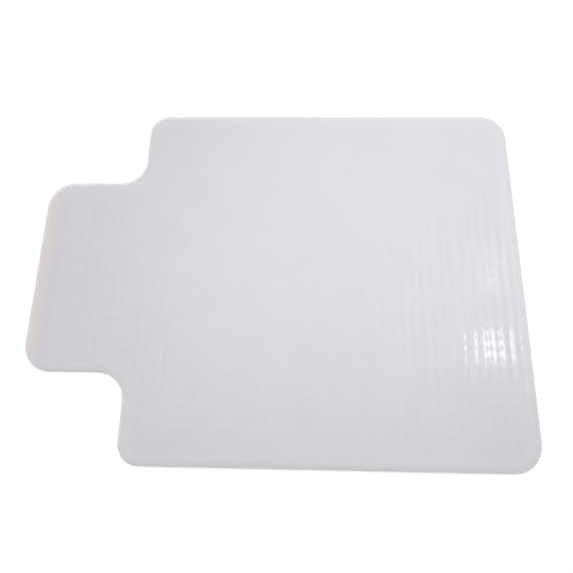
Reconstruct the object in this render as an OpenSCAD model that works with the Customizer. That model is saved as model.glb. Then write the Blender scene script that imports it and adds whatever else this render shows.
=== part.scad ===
// Chair mat for carpet: one T-shaped sheet of soft plastic with a tongue that
// goes under the desk, a smooth sloped border, and a grid of short cone studs
// underneath that grip the pile.
// X runs along the length, with the tongue at -X. Y runs along the width. +Z is up.
// The origin is the centre of the footprint, on the plane that the stud tips rest on.

/* [Outline] */
// Width of the mat, across the chair area
mat_width = 914; // [700:2:1400]
// Length of the chair area
panel_length = 965; // [700:5:1400]
// How far the tongue stands out from the chair area
lip_length = 254; // [180:2:400]
// Width of the tongue
lip_width = 498; // [300:2:520]
// How far the tongue's middle is off the mat's centre line
lip_shift = 2.8; // [-8:0.1:8]
// Radius of the two corners at the chair end
end_corner_r = 66; // [30:1:90]
// Radius of the two shoulder corners beside the tongue
shoulder_corner_r = 51; // [30:1:80]
// Radius of the two corners of the tongue
lip_corner_r = 67; // [30:1:90]
// Radius of the two hollow corners where the tongue meets the chair area
inner_corner_r = 68; // [30:1:80]

/* [Sheet] */
// Thickness of the sheet without the studs
sheet_t = 2.2; // [1.6:0.1:4]
// Width of the sloped border
border_w = 12; // [6:1:20]
// Thickness left at the cut edge
rim_t = 1.2; // [0.6:0.1:1.5]

/* [Studs] */
// Height of a stud, from the sheet's underside to its tip
stud_h = 4.8; // [3:0.1:8]
// Diameter of a stud where it leaves the sheet
stud_base_d = 6; // [4:0.1:9]
// Diameter of the blunt tip
stud_tip_d = 2.4; // [1.5:0.1:3.5]
// Spacing of the studs along the length
pitch_x = 25; // [20:0.5:40]
// Spacing of the studs along the width
pitch_y = 26; // [20:0.5:40]
// Where the middle column of studs sits along the length
grid_x = -11.2; // [-12:0.1:12]
// Where the middle row of studs sits along the width
grid_y = 8.9; // [-12:0.1:12]
// Turn of the stud grid against the cut outline, in degrees
grid_turn = -0.65; // [-2:0.05:2]
// Smooth margin with no studs, from the cut edge to the nearest stud centre
stud_margin = 20; // [16:1:40]
// The same margin at the end of the tongue
lip_end_margin = 38; // [20:1:60]

/* [Hidden] */

half_x = (panel_length + lip_length) / 2;
half_y = mat_width / 2;
lip_lo = lip_shift - lip_width / 2;
lip_hi = lip_shift + lip_width / 2;
shoulder_x = -half_x + lip_length;
top_z = stud_h + sheet_t;
edge_z = stud_h + rim_t;

sheet_c = [0.86, 0.85, 0.88];
stud_c = [0.80, 0.79, 0.83];
rim_c = [0.74, 0.73, 0.78];

// ---- outline -----------------------------------------------------------

// A rectangle whose left and right corners have their own radii
module round_rect(x0, x1, y0, y1, rl, rr) {
    translate([x0 + rl, y0]) square([x1 - x0 - rl - rr, y1 - y0]);
    translate([x0, y0 + rl]) square([rl, y1 - y0 - 2 * rl]);
    translate([x1 - rr, y0 + rr]) square([rr, y1 - y0 - 2 * rr]);
    for (y = [y0 + rl, y1 - rl]) translate([x0 + rl, y]) circle(r = rl, $fn = 96);
    for (y = [y0 + rr, y1 - rr]) translate([x1 - rr, y]) circle(r = rr, $fn = 96);
}

module outline() {
    round_rect(shoulder_x, half_x, -half_y, half_y, shoulder_corner_r, end_corner_r);
    round_rect(-half_x, shoulder_x + 80, lip_lo, lip_hi, lip_corner_r, 10);
    for (s = [-1, 1])
        difference() {
            translate([shoulder_x - inner_corner_r, s > 0 ? lip_hi : lip_lo - inner_corner_r])
                square(inner_corner_r);
            translate([shoulder_x - inner_corner_r, s > 0 ? lip_hi + inner_corner_r : lip_lo - inner_corner_r])
                circle(r = inner_corner_r, $fn = 96);
        }
}

// ---- sloped border -----------------------------------------------------

// Section of what the slope takes away: x is the distance inwards from the cut edge
module slope_section(dir) {
    k = (sheet_t - rim_t) / border_w;
    polygon([[-dir * 2, edge_z - 2 * k], [dir * border_w, top_z],
             [dir * border_w, top_z + 1], [-dir * 2, top_z + 1]]);
}

// Straight cutter along an edge that starts at p and runs len in direction a;
// the material is on its left
module slope_run(p, a, len) {
    translate([p[0], p[1], 0]) rotate([0, 0, a])
        rotate([90, 0, 90]) linear_extrude(height = len) slope_section(1);
}

// Cutter round a corner that bulges outwards, from angle a over 90 degrees
module slope_corner(c, r, a) {
    translate([c[0], c[1], 0]) rotate([0, 0, a])
        rotate_extrude(angle = 90, $fn = 96) translate([r, 0]) slope_section(-1);
}

// Cutter round a hollow corner: the material is outside the radius
module slope_hollow(c, r, a) {
    translate([c[0], c[1], 0]) rotate([0, 0, a])
        rotate_extrude(angle = 90, $fn = 96) translate([r, 0]) slope_section(1);
}

module slope_all() {
    ex = half_x - end_corner_r;
    ey = half_y - end_corner_r;
    sx = shoulder_x + shoulder_corner_r;
    sy = half_y - shoulder_corner_r;
    lx = -half_x + lip_corner_r;
    ix = shoulder_x - inner_corner_r;
    // ends of the tongue's straight end, and of the shoulders' straight parts
    ly0 = lip_lo + lip_corner_r;
    ly1 = lip_hi - lip_corner_r;
    iy0 = lip_lo - inner_corner_r;
    iy1 = lip_hi + inner_corner_r;
    // chair end and the two long sides
    slope_run([half_x, -ey], 90, 2 * ey);
    slope_run([ex, half_y], 180, ex - sx);
    slope_run([sx, -half_y], 0, ex - sx);
    slope_corner([ex, ey], end_corner_r, 0);
    slope_corner([ex, -ey], end_corner_r, -90);
    // shoulders
    slope_corner([sx, sy], shoulder_corner_r, 90);
    slope_corner([sx, -sy], shoulder_corner_r, 180);
    slope_run([shoulder_x, sy], -90, sy - iy1);
    slope_run([shoulder_x, iy0], -90, iy0 + sy);
    slope_hollow([ix, iy1], inner_corner_r, -90);
    slope_hollow([ix, iy0], inner_corner_r, 0);
    // tongue
    slope_run([ix, lip_hi], 180, ix - lx);
    slope_run([lx, lip_lo], 0, ix - lx);
    slope_corner([lx, ly1], lip_corner_r, 90);
    slope_corner([lx, ly0], lip_corner_r, 180);
    slope_run([-half_x, ly1], -90, ly1 - ly0);
}

// ---- where the studs go ------------------------------------------------

// Signed distance to a rectangle with rounded corners, negative inside
function d_rect(p, cx, cy, hx, hy, r) =
    let (qx = abs(p[0] - cx) - (hx - r), qy = abs(p[1] - cy) - (hy - r))
    norm([max(qx, 0), max(qy, 0)]) + min(max(qx, qy), 0) - r;

// Signed distance to the T outline, near enough for setting margins
function d_panel(p) = d_rect(p, (shoulder_x + half_x) / 2, 0, panel_length / 2, half_y,
                             p[0] > 0 ? end_corner_r : shoulder_corner_r);
function d_lip(p) = d_rect(p, (-half_x + shoulder_x + 120) / 2, lip_shift,
                           (lip_length + 120) / 2, lip_width / 2, lip_corner_r);
function d_mat(p) =
    let (a = d_panel(p), b = d_lip(p), r = inner_corner_r)
    max(min(a, b), r) - norm([max(r - a, 0), max(r - b, 0)]);

function grid_point(i, j) =
    let (x = i * pitch_x, y = j * pitch_y)
    [grid_x + x * cos(grid_turn) - y * sin(grid_turn),
     grid_y + x * sin(grid_turn) + y * cos(grid_turn)];

function has_stud(i, j) =
    let (p = grid_point(i, j))
    d_mat(p) <= -stud_margin && p[0] >= -half_x + lip_end_margin;

// A rim stud is one with no stud beyond it on at least one side
function is_rim(i, j) =
    has_stud(i, j) && !(has_stud(i - 1, j) && has_stud(i + 1, j)
                        && has_stud(i, j - 1) && has_stud(i, j + 1));

ni = ceil(half_x / pitch_x) + 2;
nj = ceil(half_y / pitch_y) + 2;

all_ij = [for (i = [-ni:ni], j = [-nj:nj]) if (has_stud(i, j)) [i, j]];
rim_ij = [for (t = all_ij) if (is_rim(t[0], t[1])) t];
inner_ij = [for (t = all_ij) if (!is_rim(t[0], t[1])) t];
panel_ij = [for (t = inner_ij) if (grid_point(t[0], t[1])[0] > shoulder_x) t];
lip_ij = [for (t = inner_ij) if (grid_point(t[0], t[1])[0] <= shoulder_x) t];

module stud() {
    cylinder(h = stud_h, d1 = stud_tip_d, d2 = stud_base_d, $fn = 24);
}

module studs_at(list) {
    for (t = list) {
        p = grid_point(t[0], t[1]);
        translate([p[0], p[1], 0]) stud();
    }
}

// ---- sub-parts ---------------------------------------------------------

// The sheet itself, with its flat underside and sloped border
module mat_sheet() {
    color(sheet_c)
        difference() {
            translate([0, 0, stud_h]) linear_extrude(height = sheet_t) outline();
            slope_all();
        }
}

// The outermost studs, which carry the mat's edge on a hard floor
module rim_studs() {
    color(rim_c) studs_at(rim_ij);
}

// The studs inside that row, under the chair area
module panel_studs() {
    color(stud_c) studs_at(panel_ij);
}

// The studs inside that row, under the tongue
module lip_studs() {
    color(stud_c) studs_at(lip_ij);
}

mat_sheet();
rim_studs();
panel_studs();
lip_studs();
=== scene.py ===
import math

import bpy
import numpy as np
from mathutils import Matrix, Vector
from mathutils.geometry import delaunay_2d_cdt


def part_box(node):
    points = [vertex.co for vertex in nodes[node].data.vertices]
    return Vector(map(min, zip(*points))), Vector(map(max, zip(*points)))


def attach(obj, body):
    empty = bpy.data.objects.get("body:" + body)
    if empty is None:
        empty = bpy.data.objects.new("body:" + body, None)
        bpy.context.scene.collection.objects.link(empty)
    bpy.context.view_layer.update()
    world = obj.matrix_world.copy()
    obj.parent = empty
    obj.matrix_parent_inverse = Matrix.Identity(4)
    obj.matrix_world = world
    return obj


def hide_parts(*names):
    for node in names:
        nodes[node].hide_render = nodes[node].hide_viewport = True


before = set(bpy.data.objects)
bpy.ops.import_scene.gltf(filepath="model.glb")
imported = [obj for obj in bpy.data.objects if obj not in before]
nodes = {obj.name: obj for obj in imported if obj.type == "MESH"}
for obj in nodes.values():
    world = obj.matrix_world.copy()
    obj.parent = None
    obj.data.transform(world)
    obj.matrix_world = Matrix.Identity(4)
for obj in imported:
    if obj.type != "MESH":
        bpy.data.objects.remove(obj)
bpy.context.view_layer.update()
scene = bpy.context.scene
MM = 0.001

# ---------------------------------------------------------------- camera
# right, down and forward of the camera, and where it stands
CAM_AT = (0.0649, -0.3576, 1.1599)
CAM_ROT = (2.8649820, 0.0200330, -0.0427180)
CAM_F = 481.23 / 573.0


def rotation_of(r):
    th = math.sqrt(sum(c * c for c in r))
    return Matrix.Rotation(th, 3, Vector(r).normalized())


def make_camera():
    r = rotation_of(CAM_ROT)
    right, down, forward = r[0], r[1], r[2]
    cam = bpy.data.cameras.new("camera")
    cam.sensor_fit = "HORIZONTAL"
    cam.sensor_width = 36.0
    cam.lens = 36.0 * CAM_F
    cam.clip_start, cam.clip_end = 0.02, 60.0
    o = bpy.data.objects.new("camera", cam)
    scene.collection.objects.link(o)
    m = Matrix.Identity(4)
    for k in range(3):
        m[k][0], m[k][1], m[k][2] = right[k], -down[k], -forward[k]
    m.translation = Vector(CAM_AT)
    o.matrix_world = m
    scene.camera = o


make_camera()

# ---------------------------------------------------------------- sizes, in mm
s_lo, s_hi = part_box("mat_sheet")
HX, HY = s_hi.x / MM, s_hi.y / MM
Z0, Z1 = s_lo.z / MM, s_hi.z / MM  # the sheet's underside and top
LIP_LEN, LIP_W, LIP_SHIFT = 254.0, 498.0, 2.8
R_END, R_SHOULDER, R_LIP, R_IN = 66.0, 51.0, 67.0, 68.0
RIM_T, BORDER_W = 1.2, 12.0
PX, PY, GX, GY, TURN = 25.0, 26.0, -11.2, 8.9, math.radians(-0.65)
CT, ST = math.cos(TURN), math.sin(TURN)
SHX = -HX + LIP_LEN  # the shoulders' X
LIP0, LIP1 = LIP_SHIFT - LIP_W / 2, LIP_SHIFT + LIP_W / 2


def to_grid(x, y):
    """Mat position to stud rows: whole numbers are stud centres."""
    x, y = np.asarray(x) - GX, np.asarray(y) - GY
    return (x * CT + y * ST) / PX, (-x * ST + y * CT) / PY


def from_grid(u, v):
    x, y = np.asarray(u) * PX, np.asarray(v) * PY
    return GX + x * CT - y * ST, GY + x * ST + y * CT


def d_rect(x, y, cx, cy, hx, hy, r):
    qx, qy = np.abs(x - cx) - (hx - r), np.abs(y - cy) - (hy - r)
    return (
        np.hypot(np.maximum(qx, 0), np.maximum(qy, 0))
        + np.minimum(np.maximum(qx, qy), 0)
        - r
    )


def inside(x, y):
    """How far inside the cut edge a point is, in mm."""
    r = np.where(x > 0, R_END, R_SHOULDER)
    a = d_rect(x, y, (SHX + HX) / 2, 0.0, (HX - SHX) / 2, HY, r)
    b = d_rect(
        x, y, (-HX + SHX + 160) / 2, LIP_SHIFT, (LIP_LEN + 160) / 2, LIP_W / 2, R_LIP
    )
    d = np.maximum(np.minimum(a, b), R_IN) - np.hypot(
        np.maximum(R_IN - a, 0), np.maximum(R_IN - b, 0)
    )
    return -d


def outline(d, step=8.0, turn=4.5):
    """The T outline moved inwards by d, anticlockwise, always with the same number of points."""
    ex, ey = HX - R_END, HY - R_END
    sx, sy = SHX + R_SHOULDER, HY - R_SHOULDER
    lx, ix = -HX + R_LIP, SHX - R_IN
    ly0, ly1, iy0, iy1 = LIP0 + R_LIP, LIP1 - R_LIP, LIP0 - R_IN, LIP1 + R_IN
    pts = []

    def line(p, q, n):
        count = max(1, int(round(math.dist(p, q) / step)))
        for k in range(count):
            t = k / count
            pts.append(
                (p[0] + (q[0] - p[0]) * t - n[0] * d, p[1] + (q[1] - p[1]) * t - n[1] * d)
            )

    def arc(c, r, a0, a1, hollow=False):
        count = max(1, int(round(abs(a1 - a0) / turn)))
        rr = r + d if hollow else r - d
        for k in range(count):
            a = math.radians(a0 + (a1 - a0) * k / count)
            pts.append((c[0] + rr * math.cos(a), c[1] + rr * math.sin(a)))

    line((HX, -ey), (HX, ey), (1, 0))
    arc((ex, ey), R_END, 0, 90)
    line((ex, HY), (sx, HY), (0, 1))
    arc((sx, sy), R_SHOULDER, 90, 180)
    line((SHX, sy), (SHX, iy1), (-1, 0))
    arc((ix, iy1), R_IN, 0, -90, True)
    line((ix, LIP1), (lx, LIP1), (0, 1))
    arc((lx, ly1), R_LIP, 90, 180)
    line((-HX, ly1), (-HX, ly0), (-1, 0))
    arc((lx, ly0), R_LIP, 180, 270)
    line((lx, LIP0), (ix, LIP0), (0, -1))
    arc((ix, iy0), R_IN, 90, 0, True)
    line((SHX, iy0), (SHX, -sy), (-1, 0))
    arc((sx, -sy), R_SHOULDER, 180, 270)
    line((sx, -HY), (ex, -HY), (0, -1))
    arc((ex, -ey), R_END, 270, 360)
    return np.array(pts)


def smooth(a, b, x):
    t = np.clip((x - a) / (b - a), 0, 1)
    return t * t * (3 - 2 * t)


# ---------------------------------------------------------------- where the studs are
def stud_list(name):
    """The grid numbers of the studs of a CAD node, from the tips of its cones."""
    me = nodes[name].data
    co = np.zeros(len(me.vertices) * 3, np.float32)
    me.vertices.foreach_get("co", co)
    co = co.reshape(-1, 3)[:, :] / MM
    tip = co[co[:, 2] < 0.3]
    u, v = to_grid(tip[:, 0], tip[:, 1])
    return sorted({(int(a), int(b)) for a, b in zip(np.round(u), np.round(v))})


STUDS = {n: stud_list(n) for n in ("rim_studs", "panel_studs", "lip_studs")}
ALL = sorted(set().union(*STUDS.values()))
ALL_SET = set(ALL)


# ---------------------------------------------------------------- relief of the top face
def waves(x, y, seed, n=7, short=160.0, long=520.0):
    """A smooth field of long waves between about -1 and 1."""
    r = np.random.default_rng(seed)
    out = np.zeros_like(np.asarray(x, float))
    for _ in range(n):
        a, l, p = r.uniform(0, math.pi), r.uniform(short, long), r.uniform(0, 6.283)
        out = out + np.sin((x * math.cos(a) + y * math.sin(a)) * 6.283 / l + p)
    return out / math.sqrt(n)


RIDGE, DIMPLE = 0.20, 0.02  # half height of the rolls between columns; depth at a stud


def stud_near(x, y):
    """Distance in mm to the nearest grid centre, and whether a stud is there."""
    u, v = to_grid(x, y)
    iu, iv = np.round(u), np.round(v)
    r = np.hypot((u - iu) * PX, (v - iv) * PY)
    has = np.array(
        [(int(a), int(b)) in ALL_SET for a, b in zip(iu.ravel(), iv.ravel())]
    ).reshape(np.shape(u))
    return r, has


def stud_shade_strength(u, v, x, y):
    """How dark the painted shade of the stud below is: uneven from stud to stud, strongest towards the -Y side and
    the middle of the length.
    """
    iu, iv = np.round(u).astype(int), np.round(v).astype(int)
    table = np.random.default_rng(29).uniform(0.05, 1.95, (80, 80))
    one = table[iu % 80, iv % 80]
    shade_gain_by_place = 0.15 + 1.15 * smooth(380, -260, y) * np.exp(-(((x - 90) / 350) ** 2))
    return one * shade_gain_by_place


def top_height(x, y):
    """Height of the top face, in mm, and the painted stud shade (dot) and margin values there."""
    d = inside(x, y)
    u, v = to_grid(x, y)
    r, has = stud_near(x, y)
    # the pressing is crisper towards the middle of the far end
    firm = 0.20 + 0.80 * smooth(230.0, 420.0, x) * smooth(-330.0, -220.0, y) * smooth(260.0, 90.0, y)
    level = Z1 - 1.3 * RIDGE * firm  # the middle of the rolls, so that their crests stay in the box
    # the border slopes down to the cut edge, gently at first
    drop = (level - Z0 - RIM_T) * np.maximum(1 - d / BORDER_W, 0) ** 2
    # the cut edge is slightly rounded
    drop = drop + 0.22 * np.exp(-((np.maximum(d, 0) / 0.45) ** 2))
    field = smooth(13.0, 26.0, d)
    amp = RIDGE * firm * (1 + 0.28 * np.clip(waves(x, y, 3), -1, 1)) * field
    roll = amp * np.cos(2 * math.pi * (u + 0.04 * waves(x, y, 5, short=120, long=300)))
    # painted shade: darker dots where the studs show through the sheet, and faint darker lines along the stud
    # columns, in the troughs of the rolls
    dot = np.where(has, np.exp(-((r / 2.7) ** 2)), 0.0) * stud_shade_strength(u, v, x, y)
    dot = dot + 0.14 * (0.5 + 0.5 * np.cos(2 * math.pi * u)) * field
    pit = DIMPLE * firm * np.where(has, np.exp(-((r / 2.6) ** 2)), 0.0)
    low = 0.04 * (1 + np.clip(waves(x, y, 11, short=260, long=600), -1.6, 1.6) / 1.6) * field
    return np.minimum(level - drop - roll - pit - low, Z1), dot, d


# ---------------------------------------------------------------- mesh helpers
class Mesh:
    def __init__(self):
        self.v, self.f = [], []

    def add(self, pts):
        start = len(self.v)
        self.v.extend([tuple(p) for p in pts])
        return start

    def strip(self, a, b, n, flip=False):
        """Quads between two closed loops of n points."""
        for k in range(n):
            k2 = (k + 1) % n
            q = (a + k, a + k2, b + k2, b + k)
            self.f.append(q[::-1] if flip else q)


def to_object(name, verts, faces, material, smooth_faces=True):
    me = bpy.data.meshes.new(name)
    me.from_pydata([(x * MM, y * MM, z * MM) for x, y, z in verts], [], faces)
    me.validate()
    me.update()
    if smooth_faces:
        me.polygons.foreach_set("use_smooth", [True] * len(me.polygons))
    o = bpy.data.objects.new(name, me)
    scene.collection.objects.link(o)
    me.materials.append(material)
    return o


# ---------------------------------------------------------------- sheet
RINGS = (1.4, 2.8, 4.4, 7.4)
FIELD_D = 14.0  # the border loops end and the field begins here


def cell_ring(i, j, r, n=12, shift=0.0):
    out = []
    for k in range(n):
        a = math.radians(45 + 360 / n * k + shift)
        x, y = from_grid(i + r * math.cos(a) / PX, j + r * math.sin(a) / PY)
        out.append((float(x), float(y)))
    return out


# the border of a cell, anticlockwise from its first corner, in sixths of a cell
CELL_EDGE = [
    (3, 3), (1, 3), (-1, 3), (-3, 3), (-3, 1), (-3, -1),
    (-3, -3), (-1, -3), (1, -3), (3, -3), (3, -1), (3, 1),
]


def build_sheet(material):
    flat = []  # the plan of the top face
    faces = []

    def point(p):
        flat.append((float(p[0]), float(p[1])))
        return len(flat) - 1

    # border loops, from the cut edge inwards
    loop_d = [0.0, 0.25, 0.7, 1.6, 4.0, 7.0, 9.5, 11.5, FIELD_D]
    loops = []
    n = len(outline(0.0))
    for d in loop_d:
        loops.append([point(p) for p in outline(d)])
    for a, b in zip(loops, loops[1:]):
        for k in range(n):
            k2 = (k + 1) % n
            faces.append((a[k], a[k2], b[k2], b[k]))

    # whole cells: one stud each, with rings round it
    full = []
    for i, j in ALL:
        cs = [from_grid(i + a / 6, j + b / 6) for a, b in CELL_EDGE]
        if min(float(inside(*c)) for c in cs) > FIELD_D + 3.5:
            full.append((i, j))
    full_set = set(full)
    corner = {}

    def edge_point(i, j, a, b):
        key = (6 * i + a, 6 * j + b)
        if key not in corner:
            corner[key] = point(from_grid(key[0] / 6, key[1] / 6))
        return corner[key]

    for i, j in full:
        mid = point(from_grid(i, j))
        rings = [[point(p) for p in cell_ring(i, j, r)] for r in RINGS]
        rings.append([edge_point(i, j, a, b) for a, b in CELL_EDGE])
        m = 12
        for k in range(m):
            faces.append((mid, rings[0][k], rings[0][(k + 1) % m]))
        for a, b in zip(rings, rings[1:]):
            for k in range(m):
                k2 = (k + 1) % m
                faces.append((a[k], b[k], b[k2], a[k2]))

    # the strip between the border and the whole cells
    pts, edges, owner = [], [], []

    def put(idx):
        owner.append(idx)
        pts.append(Vector(flat[idx]))
        return len(pts) - 1

    inner = [put(i) for i in loops[-1]]
    edges += [(inner[k], inner[(k + 1) % n]) for k in range(n)]
    local = {}

    def local_of(idx):
        if idx not in local:
            local[idx] = put(idx)
        return local[idx]

    sides = {(1, 0): [(3, -3), (3, -1), (3, 1), (3, 3)], (0, 1): [(3, 3), (1, 3), (-1, 3), (-3, 3)],
             (-1, 0): [(-3, 3), (-3, 1), (-3, -1), (-3, -3)], (0, -1): [(-3, -3), (-1, -3), (1, -3), (3, -3)]}
    for i, j in full:
        for (di, dj), run in sides.items():
            if (i + di, j + dj) not in full_set:
                ids = [local_of(edge_point(i, j, a, b)) for a, b in run]
                edges += list(zip(ids, ids[1:]))
    loose = [c for c in ALL if c not in full_set]
    for i, j in loose:
        put(point(from_grid(i, j)))
        for r in RINGS[:3]:
            for p in cell_ring(i, j, r):
                if float(inside(*p)) > FIELD_D + 0.8:
                    put(point(p))
    # plain points in what is left of the strip
    gi = range(int(-HX / PX) - 3, int(HX / PX) + 4)
    gj = range(int(-HY / PY) - 3, int(HY / PY) + 4)
    loose_set = set(loose)
    for i in gi:
        for j in gj:
            if (i, j) in full_set:
                continue
            for a in (-2, 0, 2):
                for b in (-2, 0, 2):
                    if (i, j) in loose_set and a == 0 and b == 0:
                        continue
                    p = from_grid(i + a / 6, j + b / 6)
                    if float(inside(*p)) > FIELD_D + 3.0:
                        put(point(p))
    res = delaunay_2d_cdt(pts, edges, [], 0, 1e-5)
    out_v, _, tris, orig = res[0], res[1], res[2], res[3]
    back = []
    for k, v in enumerate(out_v):
        back.append(owner[orig[k][0]] if orig[k] else point(v))
    for t in tris:
        c = sum((Vector(out_v[k]) for k in t), Vector((0, 0))) / len(t)
        if float(inside(c.x, c.y)) < FIELD_D:
            continue
        u, v = to_grid(c.x, c.y)
        if (int(round(float(u))), int(round(float(v)))) in full_set:
            continue
        faces.append(tuple(back[k] for k in t))

    xy = np.array(flat)
    z, dot, d = top_height(xy[:, 0], xy[:, 1])
    verts = [(x, y, h) for (x, y), h in zip(flat, z)]

    # the cut edge and the flat underside
    m = Mesh()
    m.v, m.f = verts, faces
    under = [(0.0, Z0 + 0.45), (0.10, Z0 + 0.16), (0.35, Z0 + 0.03), (0.9, Z0), (FIELD_D, Z0)]
    prev = loops[0]
    for dd, zz in under:
        start = m.add([(p[0], p[1], zz) for p in outline(dd)])
        cur = list(range(start, start + n))
        for k in range(n):
            k2 = (k + 1) % n
            m.f.append((prev[k2], prev[k], cur[k], cur[k2]))
        prev = cur
    base = [Vector((m.v[k][0], m.v[k][1])) for k in prev]
    res = delaunay_2d_cdt(base, [(k, (k + 1) % n) for k in range(n)], [], 0, 1e-5)
    for t in res[2]:
        ks = [res[3][k][0] for k in t]
        c = sum((base[k] for k in ks), Vector((0, 0))) / len(ks)
        if float(inside(c.x, c.y)) > FIELD_D - 0.01:
            m.f.append(tuple(prev[k] for k in ks)[::-1])

    o = to_object("sheet", m.v, m.f, material)
    me = o.data
    vxy = np.array([(v[0], v[1]) for v in m.v])
    vz = np.array([v[2] for v in m.v])
    topside = np.arange(len(m.v)) < len(flat)
    # the painted stud shade goes into the "dot" attribute, which darkens the sheet's colour
    stud_shade_values = np.zeros(len(m.v))
    stud_shade_values[: len(flat)] = dot
    full_d = inside(vxy[:, 0], vxy[:, 1])
    for name, val in (("dot", stud_shade_values), ("edge_mm", full_d)):
        at = me.attributes.new(name, "FLOAT", "POINT")
        at.data.foreach_set("value", val.astype(np.float32))
    return o


# ---------------------------------------------------------------- studs
STUD_PROFILE = [
    (0.80, 0.00), (1.12, 0.08), (1.30, 0.35), (2.35, 3.00),
    (2.80, 4.15), (3.15, 4.58), (3.90, 4.82),
]


def build_studs(name, cells, material, n=11):
    v, f = [], []
    top = Z0 + 0.02
    for i, j in cells:
        x, y = (float(c) for c in from_grid(i, j))
        s = len(v)
        v.append((x, y, 0.0))
        for r, z in STUD_PROFILE:
            for k in range(n):
                a = 2 * math.pi * k / n
                v.append((x + r * math.cos(a), y + r * math.sin(a), min(z, top)))
        v.append((x, y, top))
        e = len(v) - 1
        m = len(STUD_PROFILE)
        for k in range(n):
            k2 = (k + 1) % n
            f.append((s, s + 1 + k2, s + 1 + k))
            for q in range(m - 1):
                a, b = s + 1 + q * n, s + 1 + (q + 1) * n
                f.append((a + k, a + k2, b + k2, b + k))
            a = s + 1 + (m - 1) * n
            f.append((a + k, a + k2, e))
    return to_object(name, v, f, material)


# ---------------------------------------------------------------- materials
def new_material(name):
    m = bpy.data.materials.new(name)
    m.use_nodes = True
    nt = m.node_tree
    nt.nodes.clear()
    out = nt.nodes.new("ShaderNodeOutputMaterial")
    b = nt.nodes.new("ShaderNodeBsdfPrincipled")
    nt.links.new(b.outputs[0], out.inputs["Surface"])
    return m, nt, b


def node(nt, kind, **values):
    n = nt.nodes.new(kind)
    for k, v in values.items():
        setattr(n, k, v)
    return n


def math_node(nt, op, a, b=None, clamp=False):
    n = nt.nodes.new("ShaderNodeMath")
    n.operation, n.use_clamp = op, clamp
    for k, v in enumerate((a, b)):
        if v is None:
            continue
        if isinstance(v, (int, float)):
            n.inputs[k].default_value = v
        else:
            nt.links.new(v, n.inputs[k])
    return n.outputs[0]


def ramp(nt, value, a, b, to0=0.0, to1=1.0, kind="SMOOTHSTEP"):
    n = nt.nodes.new("ShaderNodeMapRange")
    n.interpolation_type = kind
    nt.links.new(value, n.inputs["Value"])
    n.inputs["From Min"].default_value, n.inputs["From Max"].default_value = a, b
    n.inputs["To Min"].default_value, n.inputs["To Max"].default_value = to0, to1
    return n.outputs["Result"]


def mix(nt, fac, a, b):
    n = nt.nodes.new("ShaderNodeMix")
    n.data_type = "RGBA"
    for sock, v in ((n.inputs[0], fac), (n.inputs[6], a), (n.inputs[7], b)):
        if isinstance(v, (int, float)):
            sock.default_value = v
        elif isinstance(v, tuple):
            sock.default_value = (*v, 1.0)
        else:
            nt.links.new(v, sock)
    return n.outputs[2]


def noise(nt, vec, scale, detail=2.0, rough=0.5):
    n = nt.nodes.new("ShaderNodeTexNoise")
    n.inputs["Scale"].default_value = scale
    n.inputs["Detail"].default_value = detail
    n.inputs["Roughness"].default_value = rough
    nt.links.new(vec, n.inputs["Vector"])
    return n.outputs["Fac"]


ALPHA = 0.56  # of one face; light crosses two
TINT = 1.305
FIELD = tuple(TINT * c for c in (0.506, 0.495, 0.529))
MARGIN = tuple(TINT * c for c in (0.497, 0.483, 0.504))
LIP_END = tuple(TINT * c for c in (0.531, 0.493, 0.486))
# painted shade colour, for the studs showing through and for a crease line near the tongue's end
PAINTED_SHADE = tuple(TINT * c for c in (0.393, 0.374, 0.435))
EDGE = tuple(TINT * c for c in (0.50, 0.50, 0.51))


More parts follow.
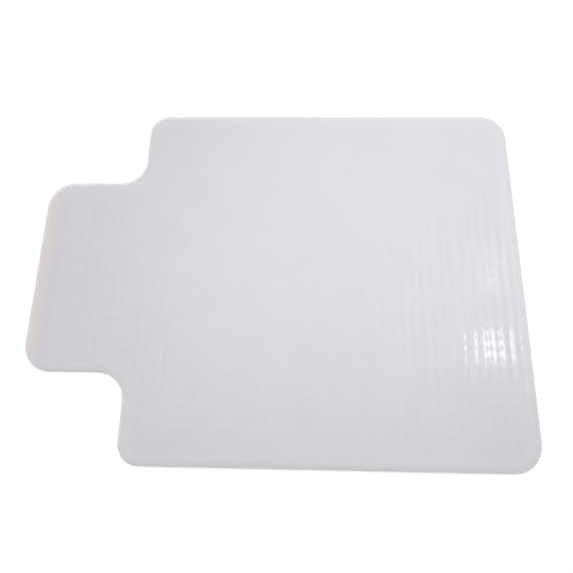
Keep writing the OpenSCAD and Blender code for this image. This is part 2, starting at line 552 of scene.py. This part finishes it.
def sheet_material():
    m, nt, b = new_material("frosted_pvc_sheet")
    co = node(nt, "ShaderNodeTexCoord").outputs["Object"]
    dot = node(nt, "ShaderNodeAttribute", attribute_name="dot").outputs["Fac"]
    edge = node(nt, "ShaderNodeAttribute", attribute_name="edge_mm").outputs["Fac"]
    xyz = node(nt, "ShaderNodeSeparateXYZ")
    nt.links.new(co, xyz.inputs[0])
    # cloudy variation of the frosting
    cloud = noise(nt, co, 9.0, 3.0, 0.55)
    col = mix(nt, ramp(nt, cloud, 0.3, 0.7, 0.0, 1.0), FIELD, tuple(c * 1.018 for c in FIELD))
    # smooth margin: narrow all round, wider at the tongue's end
    band = ramp(nt, edge, 7.0, 18.0, 1.0, 0.0)
    col = mix(nt, band, col, MARGIN)
    wob = math_node(nt, "MULTIPLY", math_node(nt, "SUBTRACT", noise(nt, co, 6.0, 2.0), 0.5), 0.016)
    along = math_node(nt, "ADD", xyz.outputs["X"], wob)
    # painted shade: a faint darker line along a crease a few centimetres in from the tongue's end
    lip_crease_shade = math_node(nt, "MULTIPLY", ramp(nt, along, -0.5900, -0.5730), ramp(nt, along, -0.5680, -0.5450, 1.0, 0.0))
    col = mix(nt, math_node(nt, "MULTIPLY", lip_crease_shade, 0.12), col, PAINTED_SHADE)
    end = ramp(nt, along, -0.5960, -0.5640, 1.0, 0.0)
    col = mix(nt, end, col, LIP_END)
    # painted shade: darker dots where the studs show through, and faint lines along the stud columns
    col = mix(nt, math_node(nt, "MULTIPLY", dot, 0.11), col, PAINTED_SHADE)
    col = mix(nt, ramp(nt, edge, 0.4, 2.2, 0.5, 0.0), col, EDGE)
    nt.links.new(col, b.inputs["Base Color"])
    # satin skin, its roughness varied by fine noise
    fine = noise(nt, co, 900.0, 2.0, 0.6)
    nt.links.new(ramp(nt, fine, 0.35, 0.65, 0.44, 0.56, "LINEAR"), b.inputs["Roughness"])
    b.inputs["IOR"].default_value = 1.52
    b.inputs["Specular IOR Level"].default_value = 0.5
    b.inputs["Coat Weight"].default_value = 1.0
    b.inputs["Coat Roughness"].default_value = 0.09
    b.inputs["Alpha"].default_value = ALPHA
    b.inputs["Coat IOR"].default_value = 1.60
    bump = nt.nodes.new("ShaderNodeBump")
    bump.inputs["Strength"].default_value = 0.12
    bump.inputs["Distance"].default_value = 0.0002
    nt.links.new(noise(nt, co, 700.0, 2.0, 0.6), bump.inputs["Height"])
    nt.links.new(bump.outputs[0], b.inputs["Normal"])
    return m


def stud_material():
    m, nt, b = new_material("pvc_studs")
    co = node(nt, "ShaderNodeTexCoord").outputs["Object"]
    xyz = node(nt, "ShaderNodeSeparateXYZ")
    nt.links.new(co, xyz.inputs[0])
    # painted shade: each stud a little darker towards its top, under the sheet, so it shows as a darker dot through
    # it
    stud_top_shade = ramp(nt, xyz.outputs["Z"], 0.0, 0.0048, 0.0, 1.0, "LINEAR")
    col = mix(nt, stud_top_shade, (0.66, 0.65, 0.69), (0.64, 0.63, 0.67))
    col = mix(nt, ramp(nt, noise(nt, co, 120.0), 0.3, 0.7, 0.0, 0.5), col, (0.66, 0.65, 0.69))
    nt.links.new(col, b.inputs["Base Color"])
    nt.links.new(ramp(nt, noise(nt, co, 1500.0), 0.3, 0.7, 0.30, 0.42, "LINEAR"), b.inputs["Roughness"])
    b.inputs["IOR"].default_value = 1.52
    return m


SHEET_MAT = sheet_material()
STUD_MAT = stud_material()

sheet = build_sheet(SHEET_MAT)
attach(sheet, "root")
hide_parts("mat_sheet")
for cad_name, piece in (
    ("rim_studs", "rim_studs_moulded"),
    ("panel_studs", "panel_studs_moulded"),
    ("lip_studs", "lip_studs_moulded"),
):
    o = build_studs(piece, STUDS[cad_name], STUD_MAT)
    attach(o, "root")
    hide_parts(cad_name)


# ---------------------------------------------------------------- floor and light
def make_floor():
    me = bpy.data.meshes.new("floor")
    s = 60.0
    me.from_pydata([(-s, -s, -0.0002), (s, -s, -0.0002), (s, s, -0.0002), (-s, s, -0.0002)], [], [(0, 1, 2, 3)])
    o = bpy.data.objects.new("floor", me)
    scene.collection.objects.link(o)
    m, nt, b = new_material("pale_floor")
    b.inputs["Base Color"].default_value = (0.93, 0.93, 0.93, 1)
    b.inputs["Roughness"].default_value = 0.9
    b.inputs["Specular IOR Level"].default_value = 0.1
    me.materials.append(m)


def area_light(name, at, toward, size, power, size_y):
    """A soft rectangular light; its second side runs along the mat's Y."""
    l = bpy.data.lights.new(name, "AREA")
    l.shape, l.energy, l.size, l.size_y = "RECTANGLE", power, size, size_y
    o = bpy.data.objects.new(name, l)
    scene.collection.objects.link(o)
    back = (Vector(at) - Vector(toward)).normalized()
    side = (Vector((0, 1, 0)) - back * back.y).normalized()
    m = Matrix.Identity(4)
    across = side.cross(back)
    for k in range(3):
        m[k][0], m[k][1], m[k][2] = across[k], side[k], back[k]
    m.translation = Vector(at)
    o.matrix_world = m
    return o


make_floor()


def make_world(base, horizon, lobes):
    """A pale studio: an even level, paler towards the horizon, and soft brighter patches overhead, each (direction, angle it ends at, angle it is full at, level)."""
    w = bpy.data.worlds.new("studio")
    scene.world = w
    w.use_nodes = True
    nt = w.node_tree
    bg = nt.nodes["Background"]
    gen = nt.nodes.new("ShaderNodeTexCoord").outputs["Generated"]
    xyz = nt.nodes.new("ShaderNodeSeparateXYZ")
    nt.links.new(gen, xyz.inputs[0])
    total = math_node(nt, "ADD", ramp(nt, xyz.outputs["Z"], 0.0, 0.60, horizon, 0.0), base)
    for d, a0, a1, level in lobes:
        dot = nt.nodes.new("ShaderNodeVectorMath")
        dot.operation = "DOT_PRODUCT"
        nt.links.new(gen, dot.inputs[0])
        dot.inputs[1].default_value = Vector(d).normalized()
        lobe = ramp(nt, dot.outputs["Value"], math.cos(math.radians(a0)), math.cos(math.radians(a1)), 0.0, level)
        total = math_node(nt, "ADD", total, lobe)
    bg.inputs[0].default_value = (1.0, 1.0, 1.0, 1)
    nt.links.new(total, bg.inputs[1])


make_world(0.288, 0.50, [
    ((0.135, 0.408, 1.160), 34.0, 2.0, 2.84),
    ((-0.565, 0.358, 1.160), 34.0, 2.0, 0.97),
    ((0.535, 0.758, 1.160), 34.0, 2.0, 1.34),
    ((-0.55, 0.68, 0.56), 22.0, 2.0, 1.15),
])
area_light("window_low", (1.40, 0.180, 2.23), (0.525, -0.174, 0.0), 0.075, 0.82, 0.22)
area_light("window_high", (1.44, 0.727, 2.23), (0.535, 0.013, 0.0), 0.075, 0.34, 0.32)

scene.view_settings.view_transform = "Standard"
scene.view_settings.look = "None"
scene.view_settings.exposure = 0.0
scene.view_settings.gamma = 1.0

bpy.context.view_layer.update()
print("sheet faces", len(sheet.data.polygons), "verts", len(sheet.data.vertices))
